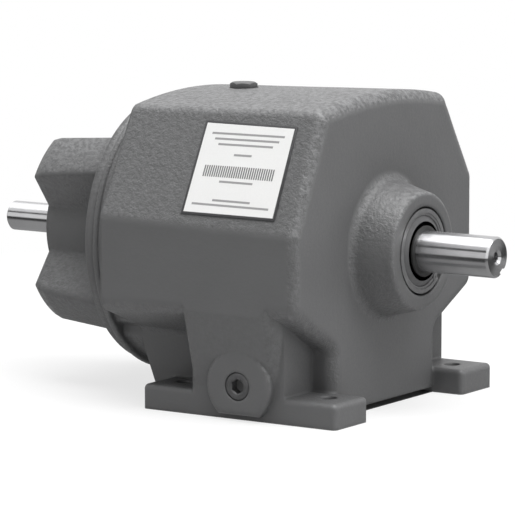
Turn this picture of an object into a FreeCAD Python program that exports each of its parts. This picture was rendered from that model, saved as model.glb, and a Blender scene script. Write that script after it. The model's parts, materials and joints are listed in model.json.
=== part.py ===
import FreeCAD, Part
import math
import os
from FreeCAD import Vector

# In-line helical gear reducer on a foot-mounted cast housing, in millimetres.
# Origin: centre of the four foot holes on the base plane.
# +X runs along the shafts towards the output end, +Z is up, -Y is the label side.

# Main axis and shaft ends
shaft_height = 98.0
output_shaft_radius = 12.7
output_shaft_length = 52.0
input_shaft_radius = 9.525
input_shaft_length = 57.5

# Housing casting
front_face_x = 49.0
front_boss_length = 26.0
front_boss_radius = 36.0
front_boss_taper = 15.0
front_boss_root_fillet = 6.0
front_boss_edge_fillet = 2.5
body_length = 142.0
body_half_width = 105.0
body_wall = 9.0
front_wall = 13.0
rear_wall = 18.0
top_height = 192.4
top_corner_half_width = 70.2
top_corner_drop = 6.5
near_shoulder_height = 117.5
far_shoulder_height = 131.5
near_foot_height = 65.5
far_foot_height = 64.5
web_top_height = 43.0
web_half_width = 60.4
underside_relief = 3.5
heel_length = 14.0
heel_height = 36.0
rim_radius = 84.5
rim_length = 18.5
rim_flange_radius = 88.0
rim_flange_length = 4.5
rim_opening_radius = 75.0
front_edge_fillet = 8.0
crown_fillet = 8.0
shoulder_fillet = 10.0
pocket_fillet = 8.0

# How much the section's corners move from the rear end of the body to its front end
top_growth = 4.2
top_corner_growth = 2.3
near_shoulder_growth = -4.0
far_shoulder_growth = 6.0
near_foot_growth = 6.0
far_foot_growth = -3.0
web_top_growth = -4.0

# Feet
foot_length = 140.0
foot_half_width = 92.7
foot_inner_half_width = 55.8
foot_thickness = 15.5
foot_fillet = 3.0
foot_hole_spacing_x = 104.8
foot_hole_spacing_y = 146.0
foot_hole_radius = 5.25
pedestal_half_length = 33.0
pedestal_front_fillet = 11.0
pedestal_rear_fillet = 4.0

# Plugs and label
fill_plug_x = -57.0
fill_plug_radius = 6.5
fill_plug_head_width = 15.0
fill_plug_head_height = 3.7
fill_seat_radius = 9.5
drain_plug_x = 3.6
drain_plug_height = 21.4
drain_plug_radius = 8.8
drain_plug_length = 12.0
drain_plug_socket_width = 8.0
drain_plug_socket_depth = 6.0
drain_passage_radius = 6.5
drain_boss_radius = 23.0
drain_boss_proud = 6.2
drain_boss_fillet = 3.0
label_length = 64.0
label_width = 57.0
label_thickness = 0.4
label_glue = 0.25
label_x = -1.4
label_height = 151.3

# Bearing bracket on the input end
gasket_thickness = 0.8
bracket_flange_thickness = 7.2
bracket_length = 60.0
lobe_flange_radius = 75.0
lobe_rear_radius = 69.0
lobe_nose_radius = 65.8
lobe_nose_length = 8.0
lobe_fillet = 2.0
flange_edge_fillet = 1.2
hub_radius = 43.0
groove_floor_radius = 30.5
groove_slope = 32.4 / 24.7
snout_radius = 30.0
counter_boss_radius = 22.5
bracket_screw_circle = 70.0
bracket_screw_radius = 3.0
bracket_screw_length = 14.0
bracket_screw_boss_radius = 9.0
bracket_screw_boss_length = 18.0
bracket_screw_head_width = 11.1
bracket_screw_head_height = 4.3
lock_washer_radius = 6.0
lock_washer_thickness = 1.6
dowel_radius = 2.5
dowel_circle = 79.5
dowel_angle = 20.0
dowel_length = 16.0

# Gear train: two helical stages with the same centre distance
normal_module = 1.75
normal_pressure_angle = math.radians(20.0)
helix_angle = math.radians(20.0)
addendum = 1.0
dedendum = 1.25
flank_clearance = 0.075
input_pinion_teeth = 12
counter_gear_teeth = 33
counter_pinion_teeth = 11
output_gear_teeth = 34
first_stage_shift = 0.3
second_stage_shift = 0.35
counter_angle = math.radians(135.0)
gear_sections = 4
pinion_sections = 8
flank_points = 5
gear_web_recess = 4.0
gear_rim_depth = 7.0
gear_hub_wall = 6.0

# Clearances
seat_clearance = 0.02
ball_clearance = 0.06
lip_clearance = 0.1
hole_clearance = 0.4

# Bearings as bore, outside diameter, width, ball radius and ball count
OUTPUT_FRONT = (30.0, 55.0, 13.0, 3.57, 11)
OUTPUT_REAR = (25.0, 47.0, 12.0, 3.3, 10)
COUNTER = (15.0, 35.0, 11.0, 2.98, 8)
INPUT = (20.0, 47.0, 14.0, 3.97, 8)
race_land_share = 0.55
cage_band_share = 0.3
cage_width_share = 1.25

# Axial layout
output_gear_face = 28.0
counter_gear_face = 26.0
pinion_overhang = 2.0
output_gear_rear_x = -2.0
counter_gear_rear_x = -74.0
plate_thickness = 14.0
plate_lip = 2.0
output_collar_length = 6.0
output_collar_radius = 20.0
output_gear_seat_radius = 16.0
output_spacer_radius = 18.5
counter_body_radius = 10.0
counter_collar_radius = 13.0
counter_collar_length = 6.0
input_collar_radius = 13.0
input_collar_length = 8.0
spacer_wall = 2.5
spacer_room = 3.5
bearing_shoulder = 4.0
seal_width = 7.5
seal_case_thickness = 1.0
seal_opening_share = 0.84
seal_rubber_rise = 0.65
ring_setback = 1.3
ring_thickness = 1.5
ring_groove_depth = 1.5
ring_inner_step = 1.4
ring_ear_radius = 2.3
ring_ear_hole_radius = 0.9
ring_ear_angle = 16.0
ring_gap_angle = 12.0
clip_thickness = 1.2
clip_groove_depth = 0.6
clip_outer_step = 2.5
plate_post_radius = 8.0
plate_post_y = 50.0
PLATE_POST_RISES = (-33.0, 40.0)
plate_margin = 9.0
plate_screw_radius = 3.0
plate_screw_head_radius = 5.0
plate_screw_head_height = 6.0
plate_screw_engagement = 12.0
counter_passage_radius = 14.5

# Keyways as width and length, keys as width, height and length
OUTPUT_KEYWAY = (6.35, 35.0)
INPUT_KEYWAY = (4.76, 38.0)
output_keyway_angle = -54.0
OUTPUT_GEAR_KEY = (8.0, 7.0, 22.0)
COUNTER_GEAR_KEY = (5.0, 5.0, 20.0)
end_hole_radius = 3.175
end_hole_depth = 16.0
end_hole_countersink = 1.5
shaft_chamfer = 1.2
journal_step = 1.0

# Places worked out from the values above
X_AXIS = Vector(1, 0, 0)
Y_AXIS = Vector(0, 1, 0)
Z_AXIS = Vector(0, 0, 1)
MAIN = (0.0, shaft_height)
transverse_module = normal_module / math.cos(helix_angle)
transverse_pressure_angle = math.atan(math.tan(normal_pressure_angle) / math.cos(helix_angle))
centre_distance = (input_pinion_teeth + counter_gear_teeth) * transverse_module / 2
COUNTER_AXIS = (
    centre_distance * math.sin(counter_angle),
    shaft_height - centre_distance * math.cos(counter_angle),
)
mesh_angle = math.atan2(COUNTER_AXIS[1] - shaft_height, COUNTER_AXIS[0])

boss_face_x = front_face_x + front_boss_length
output_end_x = boss_face_x + output_shaft_length
body_rear_x = front_face_x - body_length
housing_rear_x = body_rear_x - rim_length
flange_inner_x = housing_rear_x - gasket_thickness
flange_rear_x = flange_inner_x - bracket_flange_thickness
bracket_rear_x = flange_rear_x - bracket_length
input_end_x = bracket_rear_x - input_shaft_length
cavity_front_x = front_face_x - front_wall
cavity_rear_x = body_rear_x + rear_wall
QUARTERS = (0, 90, 180, 270)
far = 1000.0
near = 0.01

output_front_x = front_face_x
output_gear_front_x = output_gear_rear_x + output_gear_face
output_rear_bearing_front_x = output_gear_rear_x - output_collar_length
output_rear_x = output_rear_bearing_front_x - OUTPUT_REAR[2]
plate_front_x = output_rear_bearing_front_x + plate_lip
plate_rear_x = plate_front_x - plate_thickness
counter_gear_front_x = counter_gear_rear_x + counter_gear_face
counter_rear_x = counter_gear_rear_x - counter_collar_length - COUNTER[2]
counter_front_x = output_gear_front_x + 3 * pinion_overhang
input_pinion_rear_x = counter_gear_rear_x - pinion_overhang
input_pinion_front_x = counter_gear_front_x + pinion_overhang
input_front_bearing_front_x = input_pinion_rear_x - 2 * input_collar_length
input_front_x = input_front_bearing_front_x - INPUT[2]
ring_depth = ring_setback + ring_thickness
input_rear_bearing_rear_x = bracket_rear_x + ring_depth + seal_width + 2 * clip_thickness


def rod(x_start, x_end, radius, centre=MAIN):
    """A cylinder along X between two planes."""
    start = Vector(x_start, centre[0], centre[1])
    return Part.makeCylinder(radius, x_end - x_start, start, X_AXIS)


def tube(x_start, x_end, outer_radius, inner_radius, centre=MAIN):
    """A plain sleeve along X."""
    return rod(x_start, x_end, outer_radius, centre).cut(rod(x_start - 1, x_end + 1, inner_radius, centre))


def turned(profile, centre=MAIN):
    """A solid of revolution about X from x, radius points."""
    points = [Vector(x, 0, radius) for x, radius in profile]
    face = Part.Face(Part.makePolygon(points + points[:1]))
    solid = face.revolve(Vector(0, 0, 0), X_AXIS, 360)
    solid.translate(Vector(0, centre[0], centre[1]))
    return solid


def stepped_shaft(steps, centre=MAIN):
    """A turned shaft from its rear end: each step is its front plane and its radius."""
    profile = [(steps[0][0], 0.0)]
    rear = steps[0][0]
    for front, radius in steps[1:]:
        profile += [(rear, radius), (front, radius)]
        rear = front
    return turned(profile + [(rear, 0.0)], centre)


def prism(points, x_start, x_end):
    """A solid along X over a y, z outline."""
    corners = [Vector(x_start, y, z) for y, z in points]
    return Part.Face(Part.makePolygon(corners + corners[:1])).extrude(Vector(x_end - x_start, 0, 0))


def box(x_range, y_range, z_range):
    """A block between pairs of planes."""
    sizes = [high - low for low, high in (x_range, y_range, z_range)]
    return Part.makeBox(*sizes, Vector(x_range[0], y_range[0], z_range[0]))


def hexagon(width, height, base):
    """A hexagonal bar standing on a point along Z."""
    corner = width / math.sqrt(3)
    turns = [math.radians(60 * step) for step in range(6)]
    points = [base + Vector(corner * math.cos(turn), corner * math.sin(turn), 0) for turn in turns]
    return Part.Face(Part.makePolygon(points + points[:1])).extrude(Vector(0, 0, height))


def lay_along_x(shape, x, centre):
    """Turn a shape made along Z from the origin to point along -X and set it at a place."""
    shape.rotate(Vector(0, 0, 0), Y_AXIS, -90)
    shape.translate(Vector(x, centre[0], centre[1]))
    return shape


def fused(shapes):
    """One solid from touching shapes, with split faces joined again."""
    return shapes[0].multiFuse(shapes[1:]).removeSplitter()


def around_main(radius, degrees):
    """A y, z point on a circle about the main axis."""
    turn = math.radians(degrees)
    return (radius * math.cos(turn), shaft_height + radius * math.sin(turn))


def lengthwise_edges(shape, places):
    """The straight edges along X that pass through the given y, z places."""
    found = []
    for edge in shape.Edges:
        ends = [vertex.Point for vertex in edge.Vertexes]
        for y, z in places:
            if len(ends) == 2 and all(abs(end.y - y) < near and abs(end.z - z) < near for end in ends):
                found.append(edge)
    return found


def edges_on_plane(shape, x):
    """The edges that lie in a plane across X."""
    return [edge for edge in shape.Edges if edge.BoundBox.XMin > x - near and edge.BoundBox.XMax < x + near]


def crown_height(x):
    """The height of the crown's middle line at a place along the body."""
    return top_height + top_growth * (body_share(x) - 0.5)


def body_share(x):
    """A place along the body as a share, from 0 at its rear end to 1 at its front end."""
    return (x - body_rear_x) / body_length


def section_corners(x):
    """The corners of the body's cross-section at a place along it, from the label side round below."""
    grow = body_share(x) - 0.5
    top_y = top_corner_half_width + top_corner_growth * grow
    top_z = crown_height(x) - top_corner_drop
    near_z = near_shoulder_height + near_shoulder_growth * grow
    far_z = far_shoulder_height + far_shoulder_growth * grow
    near_foot_z = near_foot_height + near_foot_growth * grow
    far_foot_z = far_foot_height + far_foot_growth * grow
    web_z = web_top_height + web_top_growth * grow
    return [
        Vector(x, -top_y, top_z),
        Vector(x, -body_half_width, near_z),
        Vector(x, -body_half_width, near_foot_z),
        Vector(x, -web_half_width, web_z),
        Vector(x, -web_half_width, underside_relief),
        Vector(x, web_half_width, underside_relief),
        Vector(x, web_half_width, web_z),
        Vector(x, body_half_width, far_foot_z),
        Vector(x, body_half_width, far_z),
        Vector(x, top_y, top_z),
    ]


def section_wire(x):
    """The outline of the body's cross-section, with its curved crown."""
    points = section_corners(x)
    sides = [Part.makeLine(start, end) for start, end in zip(points, points[1:])]
    crown = Part.Arc(points[-1], Vector(x, 0, crown_height(x)), points[0]).toShape()
    return Part.Wire(sides + [crown])


def corner_edges(block, numbers):
    """The long edges of the body that start at the given corners of its rear section."""
    corners = section_corners(body_rear_x)
    found = []
    for edge in block.Edges:
        ends = [vertex.Point for vertex in edge.Vertexes]
        for number in numbers:
            starts = [end for end in ends if end.distanceToPoint(corners[number]) < near]
            if starts and edge.BoundBox.XLength > body_length - near:
                found.append(edge)
    return found


def body_shell():
    """The main block of the casting with its rounded edges, drafted from end to end."""
    block = Part.makeLoft([section_wire(body_rear_x), section_wire(front_face_x)], True, True)
    block = block.makeFillet(crown_fillet, corner_edges(block, (0, 9)))
    block = block.makeFillet(shoulder_fillet, corner_edges(block, (1, 2, 7, 8)))
    block = block.makeFillet(pocket_fillet, corner_edges(block, (3, 6)))
    low = underside_relief + near
    front = [edge for edge in edges_on_plane(block, front_face_x) if edge.BoundBox.ZMax > low]
    block = block.makeFillet(front_edge_fillet, front)
    return block.cut(rear_heel())


def rear_heel():
    """The slope cut off the body's lower rear edge."""
    points = [
        Vector(body_rear_x - 1, -far, heel_height + heel_height / heel_length),
        Vector(body_rear_x + heel_length, -far, 0),
        Vector(body_rear_x - 1, -far, 0),
    ]
    return Part.Face(Part.makePolygon(points + points[:1])).extrude(Vector(0, 2 * far, 0))


def rear_rim():
    """The round neck behind the body and the flange that takes the bracket."""
    flange_front_x = housing_rear_x + rim_flange_length
    neck = rod(housing_rear_x, cavity_rear_x, rim_radius)
    corners = section_corners(body_rear_x)
    for web, side in ((corners[3], corners[2]), (corners[6], corners[7])):
        slope = (side - web) * 2
        pocket = prism([
            (web.y, -far),
            (web.y, web.z),
            (web.y + slope.y, web.z + slope.z),
            (web.y + slope.y, -far),
        ], flange_front_x, cavity_rear_x + 1)
        neck = neck.cut(pocket)
    flange = rod(housing_rear_x, flange_front_x, rim_flange_radius)
    flange = flange.makeFillet(flange_edge_fillet, flange.Edges)
    return neck.fuse(flange)


def pedestal(side):
    """The block under one side panel that reaches down to the foot rail."""
    rail_y = foot_half_width - near
    top = near_foot_height if side < 0 else far_foot_height
    outline = [
        (body_half_width, top + shoulder_fillet),
        (body_half_width, top),
        (rail_y, foot_thickness + foot_fillet),
        (rail_y, foot_fillet),
        (web_half_width - body_wall, foot_fillet + underside_relief),
        (web_half_width - body_wall, top + shoulder_fillet),
    ]
    shape = prism([(side * y, z) for y, z in outline], -pedestal_half_length, pedestal_half_length)
    shape = shape.makeFillet(pedestal_front_fillet, pedestal_corner(shape, pedestal_half_length))
    return shape.makeFillet(pedestal_rear_fillet, pedestal_corner(shape, -pedestal_half_length))


def pedestal_corner(shape, x):
    """The sloping outer corner at one end of a pedestal."""
    found = []
    for edge in edges_on_plane(shape, x):
        bounds = edge.BoundBox
        outside = min(abs(bounds.YMin), abs(bounds.YMax)) > foot_half_width - 2 * near
        if outside and bounds.YLength > near:
            found.append(edge)
    return found


def foot_rail(side):
    """One machined foot rail with rounded top edges."""
    inner, outer = sorted((side * foot_inner_half_width, side * foot_half_width))
    rail = box((-foot_length / 2, foot_length / 2), (inner, outer), (0.0, foot_thickness))
    top = [edge for edge in rail.Faces[5].Edges]
    upright = [edge for edge in rail.Edges if edge.BoundBox.ZLength > foot_thickness - near]
    return rail.makeFillet(foot_fillet, top + upright)


def front_boss():
    """The tapered round boss that carries the output bearing."""
    taper = math.tan(math.radians(front_boss_taper))
    root_radius = front_boss_radius + front_boss_length * taper
    inner_x = front_face_x - front_wall / 2
    inner_radius = root_radius + front_wall / 2 * taper
    return turned([
        (inner_x, 0.0),
        (inner_x, inner_radius),
        (boss_face_x, front_boss_radius),
        (boss_face_x, 0.0),
    ])


def main_circles(shape, x):
    """The circles about the main axis in a plane across X."""
    middle = Vector(x, 0, shaft_height)
    return [edge for edge in edges_on_plane(shape, x) if edge.BoundBox.Center.distanceToPoint(middle) < near]


def drain_boss():
    """A round pad on the label side that takes the drain plug."""
    start_y = -(foot_half_width + drain_boss_proud)
    start = Vector(drain_plug_x, start_y, drain_plug_height)
    length = foot_half_width - web_half_width
    pad = Part.makeCylinder(drain_boss_radius, length, start, Y_AXIS)
    pad = pad.common(box((-far, far), (-far, far), (underside_relief, far)))
    face = [edge for edge in pad.Edges if edge.BoundBox.YMax < start_y + near]
    return pad.makeFillet(drain_boss_fillet, face)


def rim_opening(x_start, x_end):
    """The round rear opening, left solid where the four bracket screws go."""
    opening = rod(x_start, x_end, rim_opening_radius)
    for place in screw_places():
        opening = opening.cut(rod(x_start - 1, x_end + 1, bracket_screw_boss_radius, place))
    return opening


def gear_housing():
    """The one-piece casting: body, rear rim, feet, front boss and inner bosses."""
    casting = [body_shell(), rear_rim(), front_boss(), drain_boss()]
    for side in (-1, 1):
        casting += [pedestal(side), foot_rail(side)]
    outside = fused(casting)
    outside = outside.makeFillet(front_boss_root_fillet, main_circles(outside, front_face_x))
    outside = outside.makeFillet(front_boss_edge_fillet, main_circles(outside, boss_face_x))

    middle = Part.Face(section_wire((body_rear_x + front_face_x) / 2))
    room = middle.makeOffset2D(-body_wall, 2)
    room.translate(Vector(cavity_rear_x - room.CenterOfMass.x, 0, 0))
    cavity = room.extrude(Vector(cavity_front_x - cavity_rear_x, 0, 0))
    screw_boss_front_x = housing_rear_x + bracket_screw_boss_length
    opening = rim_opening(housing_rear_x - 1, screw_boss_front_x)
    throat = rod(screw_boss_front_x, cavity_rear_x + 1, rim_opening_radius)
    shell = outside.cut(cavity.multiFuse([opening, throat]))

    counter_boss = rod(counter_front_x, cavity_front_x + near, counter_boss_radius, COUNTER_AXIS)
    posts = [rod(plate_front_x, cavity_front_x + near, plate_post_radius, place) for place in plate_posts()]
    shell = fused([shell, counter_boss] + posts)
    for hole in housing_holes():
        shell = shell.cut(hole)
    return shell


def housing_holes():
    """Bearing bores, ring groove, screw holes, foot holes and plug holes."""
    bearing_radius = OUTPUT_FRONT[1] / 2 + seat_clearance
    counter_radius = COUNTER[1] / 2 + seat_clearance
    groove_x = boss_face_x - ring_depth - near
    holes = [
        rod(output_front_x, boss_face_x + 1, bearing_radius),
        rod(counter_front_x - 1, output_front_x + 1, output_spacer_radius + spacer_room),
        rod(groove_x, groove_x + ring_thickness + 2 * near, bearing_radius + ring_groove_depth),
        rod(counter_front_x - 1, counter_front_x + COUNTER[2] + hole_clearance, counter_radius, COUNTER_AXIS),
    ]
    for place in screw_places():
        depth = bracket_screw_length + 1
        holes.append(rod(housing_rear_x - 1, housing_rear_x + depth, bracket_screw_radius + near, place))
    for place in dowel_places():
        depth = dowel_length / 2 + hole_clearance
        holes.append(rod(housing_rear_x - 1, housing_rear_x + depth, dowel_radius + near, place))
    for place in plate_posts():
        depth = plate_screw_engagement + 1
        holes.append(rod(plate_front_x - 1, plate_front_x + depth, plate_screw_radius + near, place))
    for x in (-foot_hole_spacing_x / 2, foot_hole_spacing_x / 2):
        for y in (-foot_hole_spacing_y / 2, foot_hole_spacing_y / 2):
            holes.append(Part.makeCylinder(foot_hole_radius, foot_thickness + 2, Vector(x, y, -1), Z_AXIS))
    fill_start = Vector(fill_plug_x, 0, fill_seat_height() - 2 * body_wall)
    holes.append(Part.makeCylinder(fill_plug_radius + near, 3 * body_wall, fill_start, Z_AXIS))
    fill_seat = Vector(fill_plug_x, 0, fill_seat_height())
    holes.append(Part.makeCylinder(fill_seat_radius, body_wall, fill_seat, Z_AXIS))
    drain_start = Vector(drain_plug_x, -foot_half_width - drain_boss_proud - 1, drain_plug_height)
    holes.append(Part.makeCylinder(drain_plug_radius + near, drain_plug_length + 1, drain_start, Y_AXIS))
    drain_depth = foot_half_width - web_half_width + 2 * body_wall
    holes.append(Part.makeCylinder(drain_passage_radius, drain_depth, drain_start, Y_AXIS))
    return holes


def fill_seat_height():
    """The height of the flat seat milled under the filler plug's head."""
    return crown_height(fill_plug_x - fill_seat_radius)


def screw_places():
    """Places of the four bracket screws."""
    return [around_main(bracket_screw_circle, degrees) for degrees in QUARTERS]


def plate_posts():
    """Places of the four posts that carry the centre plate."""
    return [(y, shaft_height + rise) for y in (-plate_post_y, plate_post_y) for rise in PLATE_POST_RISES]


def dowel_places():
    """Places of the two dowel pins in the rim."""
    return [around_main(dowel_circle, dowel_angle + turn) for turn in (0, 180)]


def v_groove(degrees):
    """A wrench groove between two lobes, open to the rear."""
    reach = 2 * lobe_flange_radius
    spread = (reach - groove_floor_radius) * groove_slope
    outline = [
        (groove_floor_radius, shaft_height),
        (reach, shaft_height + spread),
        (reach, shaft_height - spread),
    ]
    groove = prism(outline, bracket_rear_x - 1, flange_rear_x)
    groove.rotate(Vector(0, 0, shaft_height), X_AXIS, degrees)
    return groove


def outer_lobe_edges(lobes):
    """The edges round the outside of the lobes, away from the flange and the hub."""
    nose_x = bracket_rear_x + lobe_nose_length
    found = []
    for edge in lobes.Edges:
        middle = edge.valueAt((edge.FirstParameter + edge.LastParameter) / 2)
        radius = math.hypot(middle.y, middle.z - shaft_height)
        on_flange = edge.BoundBox.XMin > flange_rear_x - near
        on_nose = abs(middle.x - nose_x) < near
        if radius > hub_radius + lobe_fillet and not on_flange and not on_nose:
            found.append(edge)
    return found


def input_bracket():
    """The four-lobed bearing bracket with its flange, hub and inner bosses."""
    nose_x = bracket_rear_x + lobe_nose_length
    lobes = turned([
        (bracket_rear_x, 0.0),
        (bracket_rear_x, lobe_nose_radius),
        (nose_x, lobe_rear_radius),
        (flange_rear_x, lobe_flange_radius),
        (flange_rear_x, 0.0),
    ])
    for degrees in QUARTERS:
        lobes = lobes.cut(v_groove(degrees))
    lobes = lobes.makeFillet(lobe_fillet, outer_lobe_edges(lobes))
    flange = rod(flange_rear_x, flange_inner_x, rim_radius)
    flange = flange.makeFillet(flange_edge_fillet, edges_on_plane(flange, flange_rear_x))
    hub = rod(bracket_rear_x, flange_rear_x, hub_radius)
    snout = rod(flange_inner_x, input_front_bearing_front_x, snout_radius)
    counter_boss = rod(flange_inner_x, counter_rear_x + COUNTER[2], counter_boss_radius, COUNTER_AXIS)
    bracket = fused([lobes, flange, hub, snout, counter_boss])
    for hole in bracket_holes():
        bracket = bracket.cut(hole)
    return bracket


def bracket_holes():
    """Bearing bores, ring groove, screw holes and dowel holes of the bracket."""
    bearing_radius = INPUT[1] / 2 + seat_clearance
    counter_radius = COUNTER[1] / 2 + seat_clearance
    groove_x = bracket_rear_x + ring_setback - near
    shaft_passage = bearing_radius - bearing_shoulder
    holes = [
        rod(bracket_rear_x - 1, input_rear_bearing_rear_x + INPUT[2], bearing_radius),
        rod(input_front_x, input_front_bearing_front_x + 1, bearing_radius),
        rod(bracket_rear_x, input_front_bearing_front_x, shaft_passage),
        rod(groove_x, groove_x + ring_thickness + 2 * near, bearing_radius + ring_groove_depth),
        rod(counter_rear_x - hole_clearance, counter_gear_rear_x, counter_radius, COUNTER_AXIS),
    ]
    for place in screw_places():
        holes.append(rod(flange_rear_x - 1, flange_inner_x + 1, bracket_screw_radius + hole_clearance, place))
    for place in dowel_places():
        holes.append(rod(flange_rear_x - 1, flange_inner_x + 1, dowel_radius + near, place))
    return holes


def bracket_gasket():
    """The flat gasket between the rim and the bracket flange."""
    sheet = rod(flange_inner_x, housing_rear_x, rim_radius)
    sheet = sheet.cut(rim_opening(flange_inner_x - 1, housing_rear_x + 1))
    for place in screw_places():
        radius = bracket_screw_radius + hole_clearance
        sheet = sheet.cut(rod(flange_inner_x - 1, housing_rear_x + 1, radius, place))
    for place in dowel_places():
        radius = dowel_radius + hole_clearance
        sheet = sheet.cut(rod(flange_inner_x - 1, housing_rear_x + 1, radius, place))
    return sheet


def bracket_screws():
    """Four hexagon-head screws that hold the bracket to the rim."""
    screws = []
    head_x = flange_rear_x - lock_washer_thickness
    for place in screw_places():
        head = hexagon(bracket_screw_head_width, bracket_screw_head_height, Vector())
        head = lay_along_x(head, head_x, place)
        shank = rod(head_x, housing_rear_x + bracket_screw_length, bracket_screw_radius, place)
        screws.append(head.fuse(shank))
    return Part.makeCompound(screws)


def bracket_lock_washers():
    """A washer under each bracket screw head."""
    washers = []
    for place in screw_places():
        head_x = flange_rear_x - lock_washer_thickness
        bore = bracket_screw_radius + hole_clearance / 2
        washers.append(tube(head_x, flange_rear_x, lock_washer_radius, bore, place))
    return Part.makeCompound(washers)


def bracket_dowel_pins():
    """Two dowel pins that line up the bracket and the housing."""
    start = housing_rear_x - dowel_length / 2
    pins = [rod(start, start + dowel_length, dowel_radius, place) for place in dowel_places()]
    return Part.makeCompound(pins)


def center_plate():
    """The inner plate that carries the rear end of the output shaft."""
    half_y = plate_post_y + plate_margin
    bottom = shaft_height + min(PLATE_POST_RISES) - plate_margin
    top = shaft_height + max(PLATE_POST_RISES) + plate_margin
    plate = box((plate_rear_x, plate_front_x), (-half_y, half_y), (bottom, top))
    corners = [(y, z) for y in (-half_y, half_y) for z in (bottom, top)]
    plate = plate.makeFillet(plate_margin, lengthwise_edges(plate, corners))
    bore = OUTPUT_REAR[1] / 2 + seat_clearance
    plate = plate.cut(rod(plate_rear_x - 1, output_rear_bearing_front_x, bore))
    plate = plate.cut(rod(plate_rear_x, plate_front_x + 1, bore - plate_lip))
    plate = plate.cut(rod(plate_rear_x - 1, plate_front_x + 1, counter_passage_radius, COUNTER_AXIS))
    for place in plate_posts():
        hole = plate_screw_radius + hole_clearance
        plate = plate.cut(rod(plate_rear_x - 1, plate_front_x + 1, hole, place))
    return plate


def center_plate_screws():
    """Socket-head screws that hold the centre plate to its posts."""
    screws = []
    for place in plate_posts():
        head = rod(plate_rear_x - plate_screw_head_height, plate_rear_x, plate_screw_head_radius, place)
        shank = rod(plate_rear_x, plate_front_x + plate_screw_engagement, plate_screw_radius, place)
        socket = hexagon(plate_screw_head_radius, plate_screw_head_height / 2, Vector())
        socket_x = plate_rear_x - plate_screw_head_height / 2
        screws.append(head.fuse(shank).cut(lay_along_x(socket, socket_x, place)))
    return Part.makeCompound(screws)


def fill_plug():
    """The hexagon-head filler plug on the crown."""
    seat = fill_seat_height()
    head = hexagon(fill_plug_head_width, fill_plug_head_height, Vector(fill_plug_x, 0, seat))
    shank_start = Vector(fill_plug_x, 0, seat - body_wall)
    return head.fuse(Part.makeCylinder(fill_plug_radius, body_wall, shank_start, Z_AXIS))


def drain_plug():
    """The socket-head drain plug in its pad."""
    outer_y = -(foot_half_width + drain_boss_proud)
    start = Vector(drain_plug_x, outer_y + near, drain_plug_height)
    plug = Part.makeCylinder(drain_plug_radius, drain_plug_length - near, start, Y_AXIS)
    socket = hexagon(drain_plug_socket_width, drain_plug_socket_depth + 1, Vector())
    socket.rotate(Vector(0, 0, 0), X_AXIS, -90)
    socket.translate(Vector(drain_plug_x, outer_y - 1, drain_plug_height))
    return plug.cut(socket)


def panel_point(x, height):
    """The point of the sloping label panel at a place along the body and a height."""
    top, bottom = section_corners(x)[:2]
    return top + (bottom - top) * ((top.z - height) / (top.z - bottom.z))


def nameplate():
    """The blank label, laid on the sloping panel."""
    middle = panel_point(label_x, label_height)
    up = (panel_point(label_x, label_height + 1) - middle).normalize()
    along = (panel_point(label_x + 1, label_height) - middle).normalize()
    outward = along.cross(up).normalize()
    rise = up.z * label_width / 2
    ends = []
    for x in (label_x - label_length / 2, label_x + label_length / 2):
        low = panel_point(x, label_height - rise)
        high = panel_point(x, label_height + rise)
        ends.append(Part.makeLine(low, high))
    face = Part.makeRuledSurface(*ends)
    face.translate(outward * label_glue)
    return face.extrude(outward * label_thickness)


def involute(angle):
    """The involute function of a pressure angle."""
    return math.tan(angle) - angle


def tooth_section(teeth, shift, tooth_angle, x, centre):
    """The outline of a toothed section in the plane x, with a tooth centred on an angle."""
    pitch_radius = teeth * transverse_module / 2
    base_radius = pitch_radius * math.cos(transverse_pressure_angle)
    tip_radius = pitch_radius + (addendum + shift) * normal_module
    root_radius = pitch_radius - (dedendum - shift) * normal_module
    pitch_half = (math.pi / 2 + 2 * shift * math.tan(normal_pressure_angle)) / teeth
    pitch_half -= flank_clearance / pitch_radius
    start_radius = max(base_radius, root_radius)
    flank = []
    for step in range(flank_points):
        radius = start_radius + (tip_radius - start_radius) * step / (flank_points - 1)
        pressure = math.acos(min(1.0, base_radius / radius))
        flank.append((radius, pitch_half + involute(transverse_pressure_angle) - involute(pressure)))
    if root_radius < start_radius:
        flank.insert(0, (root_radius, flank[0][1]))

    def point(radius, angle):
        return Vector(x, centre[0] + radius * math.cos(angle), centre[1] + radius * math.sin(angle))

    def curve(points):
        line = Part.BSplineCurve()
        line.interpolate(points)
        return line.toShape()

    edges = []
    pitch = 2 * math.pi / teeth
    tip_half = flank[-1][1]
    root_half = flank[0][1]
    for tooth in range(teeth):
        middle = tooth_angle + tooth * pitch
        rising = [point(radius, middle - half) for radius, half in flank]
        falling = [point(radius, middle + half) for radius, half in reversed(flank)]
        next_root = point(root_radius, middle + pitch - root_half)
        edges.append(curve(rising))
        edges.append(Part.Arc(rising[-1], point(tip_radius, middle), falling[0]).toShape())
        edges.append(curve(falling))
        edges.append(Part.Arc(falling[-1], point(root_radius, middle + pitch / 2), next_root).toShape())
    return Part.Wire(edges)


def helical_gear(teeth, shift, hand, tooth_angle, x_range, mesh_x, centre, sections):
    """A helical gear blank lofted through turned tooth sections."""
    pitch_radius = teeth * transverse_module / 2
    wires = []
    for step in range(sections + 1):
        x = x_range[0] + (x_range[1] - x_range[0]) * step / sections
        turn = hand * (x - mesh_x) * math.tan(helix_angle) / pitch_radius
        wires.append(tooth_section(teeth, shift, tooth_angle + turn, x, centre))
    return Part.makeLoft(wires, True, False)


def key_block(size, x_middle, radius, centre):
    """A key on top of a shaft seat, half sunk."""
    width, height, length = size
    low = centre[1] + radius - height / 2
    y_range = (centre[0] - width / 2, centre[0] + width / 2)
    return box((x_middle - length / 2, x_middle + length / 2), y_range, (low, low + height))


def grown(size, amount):
    """A key's size with room added to its width and height."""
    return (size[0] + amount, size[1] + amount, size[2] + amount)


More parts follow.
